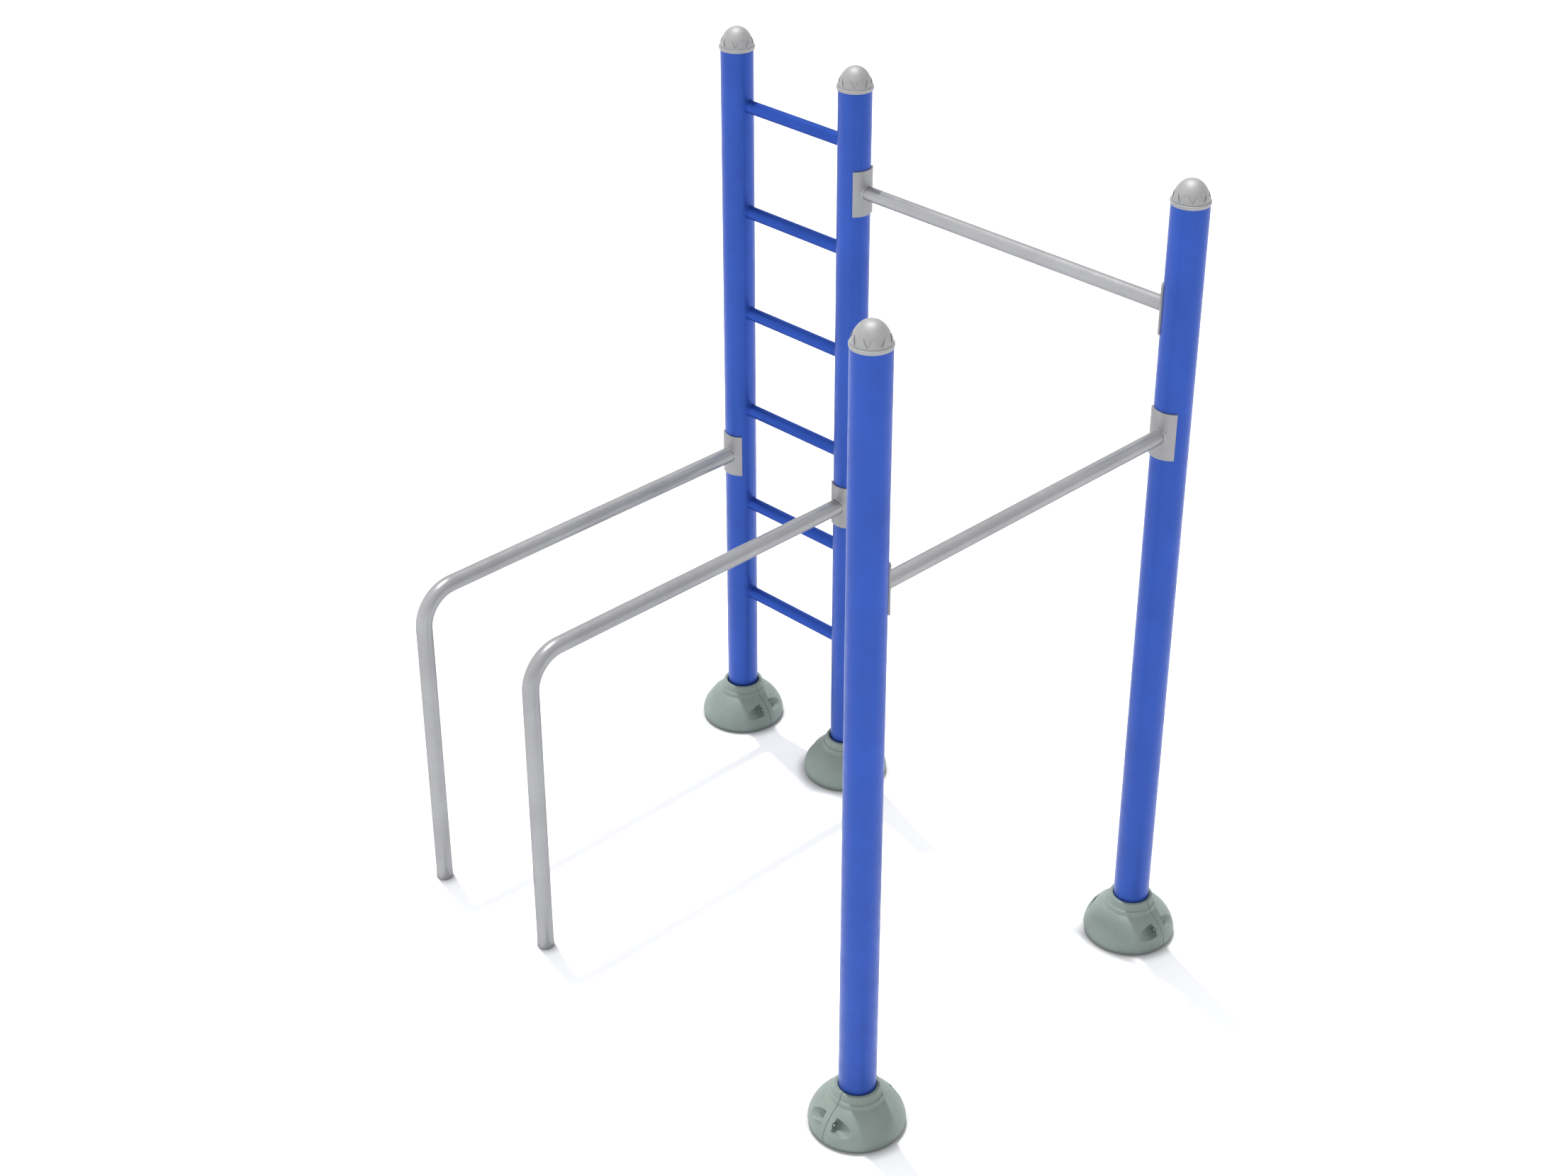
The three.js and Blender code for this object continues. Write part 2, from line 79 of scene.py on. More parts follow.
class Shape:
    """Collects vertices and faces from several grids."""

    def __init__(self):
        self.verts = []
        self.faces = []

    def grid(self, points, close_rows=False, close_cols=True):
        """points[row][col] is a position. Adds quads between neighbours."""
        points = np.asarray(points, dtype=float)
        rows, cols = points.shape[:2]
        base = len(self.verts)
        self.verts += [tuple(p) for p in points.reshape(-1, 3)]
        for i in range(rows if close_rows else rows - 1):
            for j in range(cols if close_cols else cols - 1):
                a = base + i * cols + j
                b = base + i * cols + (j + 1) % cols
                c = base + (i + 1) % rows * cols + (j + 1) % cols
                d = base + (i + 1) % rows * cols + j
                self.faces.append((a, b, c, d))

    def face(self, points):
        base = len(self.verts)
        self.verts += [tuple(p) for p in points]
        self.faces.append(tuple(range(base, base + len(points))))

    def bmesh(self):
        bm = bmesh.new()
        made = [bm.verts.new(v) for v in self.verts]
        for f in self.faces:
            bm.faces.new([made[i] for i in f])
        bmesh.ops.remove_doubles(bm, verts=bm.verts[:], dist=MERGE_DISTANCE)
        bmesh.ops.dissolve_degenerate(bm, edges=bm.edges[:], dist=DEGENERATE_LENGTH)
        bmesh.ops.recalc_face_normals(bm, faces=bm.faces[:])
        return bm


def object_from(name, bm):
    mesh = bpy.data.meshes.new(name)
    bm.to_mesh(mesh)
    bm.free()
    obj = bpy.data.objects.new(name, mesh)
    bpy.context.scene.collection.objects.link(obj)
    return obj


def smooth(mesh, degrees):
    mesh.shade_smooth()
    mesh.set_sharp_from_angle(angle=math.radians(degrees))


def piece(name, source, material, slot, *nodes, sharp=35):
    """Turns a shape, bmesh or object into a finished piece that stands for the CAD nodes."""
    if isinstance(source, Shape):
        source = source.bmesh()
    obj = source if isinstance(source, bpy.types.Object) else object_from(name, source)
    smooth(obj.data, sharp)
    obj.data.materials.clear()
    obj.data.materials.append(material)
    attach(obj, ROOT)
    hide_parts(*nodes)
    return obj


def revolve(profile, sides, x=0.0, y=0.0, closed=True):
    """Rings of a profile of (radius, z), in metres, round a vertical axis."""
    angles = np.linspace(0, 2 * math.pi, sides, endpoint=False)
    points = [[(x + r * math.cos(a), y + r * math.sin(a), z) for a in angles] for r, z in profile]
    shape = Shape()
    shape.grid(points, close_rows=closed)
    return shape


def rounded(profile, radius, steps=3, closed=True):
    """Rounds every corner of an (r, z) outline with a short arc."""
    out = []
    n = len(profile)
    for i, p in enumerate(profile):
        if not closed and i in (0, n - 1):
            out.append(p)
            continue
        a = np.array(profile[i - 1])
        b = np.array(p)
        c = np.array(profile[(i + 1) % n])
        back, on = a - b, c - b
        lb, lo = np.linalg.norm(back), np.linalg.norm(on)
        cut = min(radius, lb * 0.45, lo * 0.45)
        start, stop = b + back / lb * cut, b + on / lo * cut
        for k in range(steps + 1):
            t = k / steps
            q = (1 - t) ** 2 * start + 2 * t * (1 - t) * b + t**2 * stop
            out.append((float(q[0]), float(q[1])))
    return out


# ---------------------------------------------------------------- materials


def new_material(name):
    material = bpy.data.materials.new(name)
    material.use_nodes = True
    tree = material.node_tree
    return material, tree, tree.nodes["Principled BSDF"]


def linear(rgb):
    return [*((c / 12.92 if c <= 0.04045 else ((c + 0.055) / 1.055) ** 2.4) for c in rgb), 1.0]


def noise(tree, scale, detail=2.0, rough=0.5, stretch=(1, 1, 1)):
    coords = tree.nodes.new("ShaderNodeTexCoord")
    mapping = tree.nodes.new("ShaderNodeMapping")
    mapping.inputs["Scale"].default_value = stretch
    tex = tree.nodes.new("ShaderNodeTexNoise")
    tex.inputs["Scale"].default_value = scale
    tex.inputs["Detail"].default_value = detail
    tex.inputs["Roughness"].default_value = rough
    tree.links.new(coords.outputs["Object"], mapping.inputs["Vector"])
    tree.links.new(mapping.outputs["Vector"], tex.inputs["Vector"])
    return tex.outputs["Fac"]


def ramp(tree, source, stops):
    node = tree.nodes.new("ShaderNodeValToRGB")
    node.color_ramp.elements[0].position = stops[0][0]
    node.color_ramp.elements[0].color = stops[0][1]
    node.color_ramp.elements[1].position = stops[-1][0]
    node.color_ramp.elements[1].color = stops[-1][1]
    for position, colour in stops[1:-1]:
        node.color_ramp.elements.new(position).color = colour
    tree.links.new(source, node.inputs["Fac"])
    return node.outputs["Color"]


def spread(tree, source, low, high):
    node = tree.nodes.new("ShaderNodeMapRange")
    node.inputs["From Min"].default_value = 0.3
    node.inputs["From Max"].default_value = 0.7
    node.inputs["To Min"].default_value = low
    node.inputs["To Max"].default_value = high
    tree.links.new(source, node.inputs["Value"])
    return node.outputs["Result"]


def bump(tree, source, strength, distance, under=None):
    node = tree.nodes.new("ShaderNodeBump")
    node.inputs["Strength"].default_value = strength
    node.inputs["Distance"].default_value = distance
    tree.links.new(source, node.inputs["Height"])
    if under is not None:
        tree.links.new(under, node.inputs["Normal"])
    return node.outputs["Normal"]


def blend_colour(tree, kind, fac, a, b):
    node = tree.nodes.new("ShaderNodeMix")
    node.data_type = "RGBA"
    node.blend_type = kind
    if isinstance(fac, float):
        node.inputs["Factor"].default_value = fac
    else:
        tree.links.new(fac, node.inputs["Factor"])
    tree.links.new(a, node.inputs["A"])
    if isinstance(b, (list, tuple)):
        node.inputs["B"].default_value = b
    else:
        tree.links.new(b, node.inputs["B"])
    return node.outputs["Result"]


def shade(rgb, factor):
    return [min(1.0, c * factor) for c in rgb]


def cloudy(tree, source, rgb, darker, lighter):
    """A colour that drifts between a darker and a lighter shade of itself."""
    low, high = linear(shade(rgb, darker)), linear(shade(rgb, lighter))
    return ramp(tree, source, [(0.3, low), (0.5, linear(rgb)), (0.7, high)])


def powder_coat(name, rgb, rough, metallic, specular=0.5, tone=0.035, fleck=0.5, edge=1.0):
    """Satin powder coat: faint cloudiness, fine orange peel, and slight changes in gloss."""
    material, tree, bsdf = new_material(name)
    cloud = noise(tree, 7.0, 4.0, 0.6)
    grain = noise(tree, 600.0, 2.0, 0.6)
    colour = cloudy(tree, cloud, rgb, 1 - tone, 1 + tone)
    flecks = ramp(tree, grain, [(0.35, (0.9, 0.9, 0.9, 1)), (0.65, (1.08, 1.08, 1.08, 1))])
    colour = blend_colour(tree, "MULTIPLY", fleck, colour, flecks)
    tree.links.new(colour, bsdf.inputs["Base Color"])
    gloss = spread(tree, noise(tree, 30.0, 3.0), rough - 0.04, rough + 0.05)
    tree.links.new(gloss, bsdf.inputs["Roughness"])
    peel = bump(tree, noise(tree, 420.0, 1.0), 0.10, 0.0003)
    tree.links.new(bump(tree, grain, 0.06, 0.0001, peel), bsdf.inputs["Normal"])
    bsdf.inputs["Metallic"].default_value = metallic
    bsdf.inputs["Specular IOR Level"].default_value = specular
    bsdf.inputs["Specular Tint"].default_value = (edge, edge, edge, 1)
    return material


def moulded_plastic(name, rgb, rough, speckle, depth, metallic=0.0):
    """Moulded plastic with a fine grain and light specks."""
    material, tree, bsdf = new_material(name)
    cloud = noise(tree, 18.0, 4.0, 0.55)
    grain = noise(tree, 650.0, 3.0, 0.65)
    specks = noise(tree, 1500.0, 1.0, 0.5)
    colour = cloudy(tree, cloud, rgb, 0.965, 1.03)
    dark = ramp(tree, grain, [(0.3, (0.86, 0.86, 0.86, 1)), (0.7, (1.12, 1.12, 1.12, 1))])
    colour = blend_colour(tree, "MULTIPLY", speckle, colour, dark)
    light = ramp(tree, specks, [(0.66, (0, 0, 0, 1)), (0.72, (1, 1, 1, 1))])
    mixed = blend_colour(tree, "MIX", light, colour, linear(shade(rgb, 1.22)))
    colour = blend_colour(tree, "MIX", speckle * 0.6, colour, mixed)
    tree.links.new(colour, bsdf.inputs["Base Color"])
    tree.links.new(spread(tree, grain, rough - 0.05, rough + 0.08), bsdf.inputs["Roughness"])
    tree.links.new(bump(tree, grain, 0.25, depth), bsdf.inputs["Normal"])
    bsdf.inputs["Metallic"].default_value = metallic
    return material


def zinc_plate(name):
    """Dull zinc with faint clouds and a fine grain."""
    material, tree, bsdf = new_material(name)
    cloud = noise(tree, 160.0, 4.0, 0.6)
    colour = ramp(
        tree,
        cloud,
        [(0.3, (0.30, 0.31, 0.30, 1)), (0.5, (0.37, 0.37, 0.35, 1)), (0.7, (0.43, 0.43, 0.43, 1))],
    )
    tree.links.new(colour, bsdf.inputs["Base Color"])
    tree.links.new(spread(tree, cloud, 0.28, 0.46), bsdf.inputs["Roughness"])
    tree.links.new(bump(tree, noise(tree, 2500.0, 2.0), 0.15, 0.00005), bsdf.inputs["Normal"])
    bsdf.inputs["Metallic"].default_value = 1.0
    return material


BLUE = powder_coat("blue_powder_coat", (0.162, 0.281, 0.588), 0.40, 0.5, specular=0.2)
# A darker, duller copy of the post blue for the rungs, which carry the same paint: painted shade.
SHADED_RUNG_BLUE = powder_coat(
    "blue_powder_coat_rungs_shaded", (0.155, 0.27, 0.575), 0.40, 0.6, specular=0.1, edge=0.4
)
GREY = powder_coat(
    "grey_powder_coat", (0.568, 0.568, 0.573), 0.34, 0.6, specular=0.15, fleck=0.6, edge=0.45
)
# A darker copy of the bar grey for the saddle plates, which carry the same paint: painted shade.
SHADED_PLATE_GREY = powder_coat(
    "grey_powder_coat_plates_shaded", (0.545, 0.545, 0.55), 0.42, 0.4, specular=0.15, fleck=0.6, edge=0.6
)
CAP = moulded_plastic("grey_cap_plastic", (0.585, 0.585, 0.585), 0.6, 0.2, 0.00001, metallic=0.75)
COVER = moulded_plastic("green_grey_plastic", (0.422, 0.467, 0.444), 0.50, 0.75, 0.00018)
ZINC = zinc_plate("zinc_plate")


# ---------------------------------------------------------------- posts and flanges

POST_SIDES = 96
POST_WALL = 3.2 * MM
CORNER = 0.5 * MM

for name in POSTS:
    x, y, r = post_at(name)
    lo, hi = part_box("post_" + name)
    outline = [(r, lo[2]), (r, hi[2]), (r - POST_WALL, hi[2]), (r - POST_WALL, lo[2])]
    tube = revolve(rounded(outline, CORNER), POST_SIDES, x, y)
    piece(f"tube_{name}", tube, BLUE, "post_paint", "post_" + name)


def boolean(target, cutter, operation):
    """Applies one boolean and removes the cutter."""
    modifier = target.modifiers.new("cut", "BOOLEAN")
    modifier.operation = operation
    modifier.solver = "EXACT"
    modifier.object = cutter
    apply_modifiers(target)
    bpy.data.objects.remove(cutter, do_unlink=True)


def apply_modifiers(obj):
    bpy.context.view_layer.update()
    evaluated = obj.evaluated_get(bpy.context.evaluated_depsgraph_get())
    mesh = bpy.data.meshes.new_from_object(evaluated)
    obj.modifiers.clear()
    obj.data = mesh


def rod(radius, start, stop, sides):
    """A closed round bar between two points."""
    a, b = Vector(start), Vector(stop)
    along = (b - a).normalized()
    side = along.orthogonal().normalized()
    up = along.cross(side)
    turns = np.linspace(0, 2 * math.pi, sides, endpoint=False)
    ring = [side * math.cos(t) * radius + up * math.sin(t) * radius for t in turns]
    shape = Shape()
    shape.grid([[tuple(a + p) for p in ring], [tuple(b + p) for p in ring]])
    shape.face([tuple(a + p) for p in ring])
    shape.face([tuple(b + p) for p in ring])
    return object_from("rod", shape.bmesh())


ANCHOR_CIRCLE = 76 * MM
ANCHOR_HOLE = 9 * MM
ANCHOR_HOLES = 4
ANCHOR_SIDES = 32
OVERSHOOT = 0.01

for name in POSTS:
    x, y, _ = post_at(name)
    lo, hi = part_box("base_flange_" + name)
    outer = (hi[0] - lo[0]) / 2
    outline = [(0.0, lo[2]), (outer, lo[2]), (outer, hi[2]), (0.0, hi[2])]
    profile = rounded(outline, CORNER, closed=False)
    disc = object_from("flange", revolve(profile, POST_SIDES, x, y, closed=False).bmesh())
    for k in range(ANCHOR_HOLES):
        angle = (k + 0.5) * math.tau / ANCHOR_HOLES
        hx, hy = x + ANCHOR_CIRCLE * math.cos(angle), y + ANCHOR_CIRCLE * math.sin(angle)
        low, high = (hx, hy, lo[2] - OVERSHOOT), (hx, hy, hi[2] + OVERSHOOT)
        boolean(disc, rod(ANCHOR_HOLE, low, high, ANCHOR_SIDES), "DIFFERENCE")
    disc.name = f"flange_{name}"
    piece(disc.name, disc, BLUE, "post_paint", "base_flange_" + name)


# ---------------------------------------------------------------- straight bars

BAR_SIDES = 64
BAR_WALL = 3 * MM
FILLET = 2.6 * MM
FILLET_STEPS = 7
FILLET_STATIONS = 160
FILLET_SUNK = -0.3 * MM


def reach(seat, radius, turn):
    """How far from an upright cylinder's axis its surface is, at a bar's corner angle."""
    return math.sqrt(seat**2 - (radius * math.cos(turn)) ** 2)


def fillet_round(shape, seat, radius, place):
    """The smooth weld fillet where a bar meets an upright round surface.

    place maps local to world."""
    rings = []
    for i in range(FILLET_STATIONS):
        t = 2 * math.pi * i / FILLET_STATIONS

        def point(off_post, off_bar):
            r = radius + off_bar
            return np.array([reach(seat, r, t) + off_post, r * math.cos(t), r * math.sin(t)])

        on_bar, corner, on_post = point(FILLET, 0), point(0, 0), point(0, FILLET)
        curve = []
        for u in np.linspace(0, 1, FILLET_STEPS):
            curve.append((1 - u) ** 2 * on_bar + 2 * u * (1 - u) * corner + u**2 * on_post)
        curve += [
            point(FILLET_SUNK, FILLET),
            point(FILLET_SUNK, FILLET_SUNK),
            point(FILLET, FILLET_SUNK),
        ]
        rings.append([place(p) for p in curve])
    shape.grid(rings, close_rows=True)


def straight_bar(name, axis, node, seats, material, slot):
    """A hollow bar along X or Y between two upright round surfaces of the given axes and radii."""
    cx, cy, cz = centre_of(node)
    radius = size_of(node)[2] / 2
    (start, start_seat), (stop, stop_seat) = seats

    def place_along(base, sign):
        if axis == "x":
            return lambda p: (base + sign * p[0], cy + p[1], cz + p[2])
        return lambda p: (cx - p[1], base + sign * p[0], cz + p[2])

    left, right = place_along(start, 1), place_along(stop, -1)
    turns = np.linspace(0, 2 * math.pi, BAR_SIDES, endpoint=False)
    rings = []
    for r, ends in ((radius, (left, right)), (radius - BAR_WALL, (right, left))):
        for end in ends:
            seat = start_seat if end is left else stop_seat
            points = [(reach(seat, r, t), r * math.cos(t), r * math.sin(t)) for t in turns]
            rings.append([end(p) for p in points])
    shape = Shape()
    shape.grid(rings, close_rows=True)
    fillet_round(shape, start_seat, radius, left)
    fillet_round(shape, stop_seat, radius, right)
    return piece(name, shape, material, slot, node, sharp=40)


ax, ay, ar = post_at("ladder_left")
bx, by, br = post_at("ladder_right")
dx, dy, dr = post_at("corner")
ex, ey, er = post_at("end")

for i in range(1, RUNGS + 1):
    straight_bar(f"rung_tube_{i}", "x", f"rung_{i}", ((ax, ar), (bx, br)), SHADED_RUNG_BLUE, "post_paint")


def plate_face(saddle, axis_x, axis_y):
    """Radius of a saddle plate's outer face about its post's axis."""
    lo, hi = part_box(saddle)
    return max(abs(lo[0] - axis_x), abs(hi[0] - axis_x), abs(lo[1] - axis_y), abs(hi[1] - axis_y))


high_ends = (
    (bx, plate_face("saddle_high_bar_ladder", bx, by)),
    (dx, plate_face("saddle_high_bar_corner", dx, dy)),
)
low_ends = (
    (ey, plate_face("saddle_low_bar_end", ex, ey)),
    (dy, plate_face("saddle_low_bar_corner", dx, dy)),
)
straight_bar("high_bar_tube", "x", "chin_bar_high", high_ends, GREY, "bar_paint")
straight_bar("low_bar_tube", "y", "chin_bar_low", low_ends, GREY, "bar_paint")

# ---------------------------------------------------------------- saddle plates

PLATE_THICKNESS = 4.8 * MM
PLATE_HALF_WRAP = math.radians(50)
PLATE_STEPS = 40
PLATE_EDGE = 0.6 * MM


def saddle(node, axis_x, axis_y, post_radius, heading):
    """A curved plate on a post with square corners and broken edges."""
    lo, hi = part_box(node)
    inner = post_radius + GAP
    outer = inner + PLATE_THICKNESS
    rows = []
    angles = [-PLATE_HALF_WRAP, -PLATE_HALF_WRAP + PLATE_EDGE / outer]
    angles += list(np.linspace(-PLATE_HALF_WRAP, PLATE_HALF_WRAP, PLATE_STEPS)[1:-1])
    angles += [PLATE_HALF_WRAP - PLATE_EDGE / outer, PLATE_HALF_WRAP]
    for k, a in enumerate(angles):
        end = k in (0, len(angles) - 1)
        inset, bevel = (PLATE_EDGE, 0) if end else (0, PLATE_EDGE)
        top, bottom, out = hi[2] - inset, lo[2] + inset, outer - inset
        loop = [
            (inner, bottom),
            (out - bevel, bottom),
            (out, bottom + bevel),
            (out, top - bevel),
            (out - bevel, top),
            (inner, top),
        ]
        c, s = math.cos(heading + a), math.sin(heading + a)
        rows.append([(axis_x + r * c, axis_y + r * s, z) for r, z in loop])
    shape = Shape()
    shape.grid(rows)
    shape.face(rows[0])
    shape.face(rows[-1])
    return piece(node + "_plate", shape, SHADED_PLATE_GREY, "bar_paint", node, sharp=25)


saddle("saddle_high_bar_ladder", bx, by, br, 0)
saddle("saddle_high_bar_corner", dx, dy, dr, math.pi)
saddle("saddle_low_bar_corner", dx, dy, dr, -math.pi / 2)
saddle("saddle_low_bar_end", ex, ey, er, math.pi / 2)
saddle("saddle_dip_bar_left", ax, ay, ar, -math.pi / 2)
saddle("saddle_dip_bar_right", bx, by, br, -math.pi / 2)

# ---------------------------------------------------------------- dip bars

BEND_RADIUS = 98 * MM
BEND_STEPS = 32
FOOT_EDGE = 0.6 * MM


def dip_bar(node, axis_x, axis_y, seat):
    lo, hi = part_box(node)
    radius = (hi[0] - lo[0]) / 2
    height = hi[2] - radius
    leg_y = lo[1] + radius
    turns = np.linspace(0, 2 * math.pi, BAR_SIDES, endpoint=False)
    path = []
    for i in range(BEND_STEPS + 1):
        a = math.pi / 2 * i / BEND_STEPS
        y = leg_y + BEND_RADIUS * (1 - math.sin(a))
        path.append((y, height - BEND_RADIUS * (1 - math.cos(a)), a))
    path.append((leg_y, lo[2] + FOOT_EDGE, math.pi / 2))

    def ring(r, at, shrink=0.0):
        y, z, a = at
        return [
            (
                axis_x + (r - shrink) * math.cos(t),
                y + (r - shrink) * math.sin(t) * math.sin(a) * -1,
                z + (r - shrink) * math.sin(t) * math.cos(a),
            )
            for t in turns
        ]

    def seated(r):
        return [
            (axis_x + r * math.cos(t), axis_y - reach(seat, r, t), height + r * math.sin(t))
            for t in turns
        ]

    foot = (leg_y, lo[2], math.pi / 2)
    inner = radius - BAR_WALL
    rings = [seated(radius)] + [ring(radius, p) for p in path]
    rings += [ring(radius, foot, FOOT_EDGE), ring(inner, foot)]
    rings += [ring(inner, p) for p in reversed(path)] + [seated(inner)]
    shape = Shape()
    shape.grid(rings, close_rows=True)
    fillet_round(shape, seat, radius, lambda p: (axis_x - p[1], axis_y - p[0], height + p[2]))
    return piece(node + "_tube", shape, GREY, "bar_paint", node, sharp=40)


dip_bar("dip_bar_left", ax, ay, plate_face("saddle_dip_bar_left", ax, ay))
dip_bar("dip_bar_right", bx, by, plate_face("saddle_dip_bar_right", bx, by))

# ---------------------------------------------------------------- post caps

CAP_SIDES = 252
PETALS = 9
CAP_RADIUS = 48.6
DOME_RADIUS = 45.7
DOME_RISE = 50.0
DOME_RISE_POWER = 1.355
DOME_WIDTH_POWER = 2.4
DOME_ROWS = 30
DOME_START = 23.0
DOME_WALL = 3.5
DOME_WALL_AT_FOOT = 6.5
CAP_HEIGHT = 59.0
CAP_SKIRT = 5.8
CAP_POST_WALL = 3.2
CAP_CLEARANCE = 0.3
SPIGOT_CLEARANCE = 0.6
SPIGOT_WALL = 3.4
CAP_CORNER = 0.4
PETAL_SHEET = 1.2
PETAL_ROWS = 12
PETAL_EDGE_STEPS = 8
PETAL_ROOT = 0.4
PETAL_HEIGHTS = (0, 4.5, 9.5, 12.5, 15.5, 18.5, 21.5)
PETAL_RADII = (45.1, 44.9, 43.9, 43.2, 42.2, 40.9, 39.4)
PETAL_BLUNT = 0.06
PETAL_POWER = 1.05
VALLEY_HEIGHT = 4.0
PETAL_RISE = 17.6


def dome_radius(height):
    t = min(1.0, max(0.0, height / DOME_RISE))
    return DOME_RADIUS * (1 - t**DOME_RISE_POWER) ** (1 / DOME_WIDTH_POWER)


def petal_radius(height):
    """Outer face of the crown of petals: nearly upright, closing in at the top."""
    return float(np.interp(height, PETAL_HEIGHTS, PETAL_RADII))


def petal_edge(angle, first):
    """Height of a petal's edge above the lip: nine rounded tips with sharp valleys between."""
    pitch = 2 * math.pi / PETALS
    away = abs((angle - first + pitch / 2) % pitch - pitch / 2) / (pitch / 2)
    away = math.hypot(away, PETAL_BLUNT) - PETAL_BLUNT
    away = away / (math.hypot(1, PETAL_BLUNT) - PETAL_BLUNT)
    return VALLEY_HEIGHT + PETAL_RISE * math.sin(away * math.pi / 2) ** PETAL_POWER


def cap(name, first):
    x, y, _ = post_at(name)
    lo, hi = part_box("post_cap_" + name)
    top = hi[2] / MM
    bottom = top - CAP_HEIGHT
    lip = top - DOME_RISE
    angles = np.linspace(0, 2 * math.pi, CAP_SIDES, endpoint=False)

    def ring(radius_of, height_of):
        points = []
        for a in angles:
            r, z = radius_of(a) * MM, height_of(a) * MM
            points.append((x + r * math.cos(a), y + r * math.sin(a), z))
        return points

    # Dome, lip, skirt and spigot are one turned body.
    post_radius = post_at(name)[2] / MM
    spigot = post_radius - CAP_POST_WALL - SPIGOT_CLEARANCE
    body = [
        (spigot - SPIGOT_WALL, lo[2] / MM),
        (spigot, lo[2] / MM),
        (spigot, bottom + CAP_SKIRT),
        (post_radius + CAP_CLEARANCE, bottom + CAP_SKIRT),
        (post_radius + CAP_CLEARANCE, bottom),
        (CAP_RADIUS - 0.9, bottom),
        (CAP_RADIUS - 0.9, bottom + 2.8),
        (CAP_RADIUS, bottom + 3.6),
        (CAP_RADIUS, lip - 1.1),
        (CAP_RADIUS - 1.1, lip),
        (45.0, lip - 0.2),
        (43.5, lip - 0.2),
        (43.3, lip + 4.5),
        (42.0, lip + 9.5),
        (41.1, lip + 12.5),
        (40.2, lip + 15.5),
        (39.2, lip + 18.5),
        (38.3, lip + 21.5),
    ]
    turned = rounded(body, CAP_CORNER, 2, closed=False)
    for k in range(1, DOME_ROWS):
        h = DOME_START + (DOME_RISE - DOME_START) * math.sin(k / DOME_ROWS * math.pi / 2)
        turned.append((dome_radius(h), lip + h))
    turned.append((0.0, top))
    turned.append((0.0, top - 2.5))
    for h in (45, 40, 32, 24, 14, 4):
        wall = DOME_WALL_AT_FOOT if h < 20 else DOME_WALL
        turned.append((dome_radius(h) - wall, lip + h - 1))
    turned += [(spigot - SPIGOT_WALL, bottom + 6.5), (spigot - SPIGOT_WALL, lo[2] / MM)]
    shape = Shape()
    shape.grid([ring(lambda a, r=r: r, lambda a, z=z: z) for r, z in turned])

    # Crown of petals standing on the lip, with a fully rounded edge.
    edges = {a: petal_edge(a, first) for a in angles}
    rows = []
    for i in range(PETAL_ROWS + 1):
        u = i / PETAL_ROWS
        rows.append(
            ring(
                lambda a, u=u: petal_radius(edges[a] * u),
                lambda a, u=u: lip - PETAL_ROOT + (edges[a] + PETAL_ROOT) * u,
            )
        )
    half = PETAL_SHEET / 2
    for k in range(1, PETAL_EDGE_STEPS):
        t = math.pi * k / PETAL_EDGE_STEPS
        rows.append(
            ring(
                lambda a, t=t: petal_radius(edges[a]) - half + half * math.cos(t),
                lambda a, t=t: lip + edges[a] + half * math.sin(t),
            )
        )
    for i in range(PETAL_ROWS // 2, -1, -1):
        u = i / (PETAL_ROWS // 2)
        rows.append(
            ring(
                lambda a, u=u: petal_radius(edges[a] * u) - PETAL_SHEET,
                lambda a, u=u: lip - PETAL_ROOT + (edges[a] + PETAL_ROOT) * u,
            )
        )
    shape.grid(rows, close_rows=True)
    return piece(f"cap_{name}", shape, CAP, "cap_plastic", "post_cap_" + name, sharp=50)


CAP_FIRST = math.radians(-49.7)
END_CAP_FIRST = math.radians(-58.7)
for name in POSTS:
    cap(name, END_CAP_FIRST if name == "end" else CAP_FIRST)

# ---------------------------------------------------------------- foot covers

COVER_STEPS = 120
COVER_RADIUS = 121
WIDEST_HEIGHT = 17
FOOT_DRAW_IN = 5.5
FLARE_CENTRE = 40
FLARE_RISE = 85
FLARE_POWER = 1.735
BAND_RADIUS = 70
BORE_RADIUS = 47.4
SEAM = 0.45
SEAM_EDGE = 0.55
WALL = 4.5
FLARE_ROWS = 26
FLARE_ROWS_INSIDE = 10
POCKET_LINE = (98.5, 61.0)
POCKET_RADIUS = 19.0
POCKET_SEAT = 17.5
POCKET_SLANT = 0.15
BOLT_LINE = (94.5, 57.5)
HEAD_RECESS = (10.5, 3.0)
NUT_RECESS = (7.2, 6.5)
BOSS_WALL = 3.5
BOSS_DEPTH = 90
POCKET_LENGTH = 140
BOLT_HOLE = 3.7


def flare(inset, rows):
    width = COVER_RADIUS - inset - FLARE_CENTRE
    last = math.acos(((BAND_RADIUS - inset - FLARE_CENTRE) / width) ** (FLARE_POWER / 2))
    out = []
    for i in range(rows + 1):
        a = last * i / rows
        r = FLARE_CENTRE + width * math.cos(a) ** (2 / FLARE_POWER)
        out.append((r, WIDEST_HEIGHT + (FLARE_RISE - inset) * math.sin(a) ** (2 / FLARE_POWER)))
    return out


def cover_outside():
    foot = [(112.8, 0.0), (113.0, 1.5), (115.7, 2.0)]
    for z in (3.0, 6.0, 9.0, 12.0, 14.5):
        foot.append((COVER_RADIUS - FOOT_DRAW_IN * (1 - z / WIDEST_HEIGHT) ** 1.5, z))
    low = foot + flare(0, FLARE_ROWS)
    band = [(69.4, 95.0), (68.4, 98.5), (67.0, 102.2), (66.2, 103.6), (65.0, 104.4), (63.6, 104.6)]
    collar = [(62.2, 104.9), (61.7, 105.8), (61.3, 108.3)]
    for z in (108.9, 112.9, 116.9):
        r = collar[-1][0]
        collar += [(r - 0.25, z), (r - 0.95, z + 0.25), (r - 1.1, z + 0.7), (r - 1.25, z + 3.4)]
    collar += [(57.2, 121.0), (56.3, 122.6), (54.8, 123.6), (53.0, 124.0)]
    collar += [(49.2, 124.0), (48.0, 123.5), (BORE_RADIUS, 122.2)]
    return low + band + collar


def cover_inside():
    under = reversed(flare(WALL, FLARE_ROWS_INSIDE))
    return [(BORE_RADIUS, 99.0), (61.5, 98.5), *under, (110.6, 0.0)]


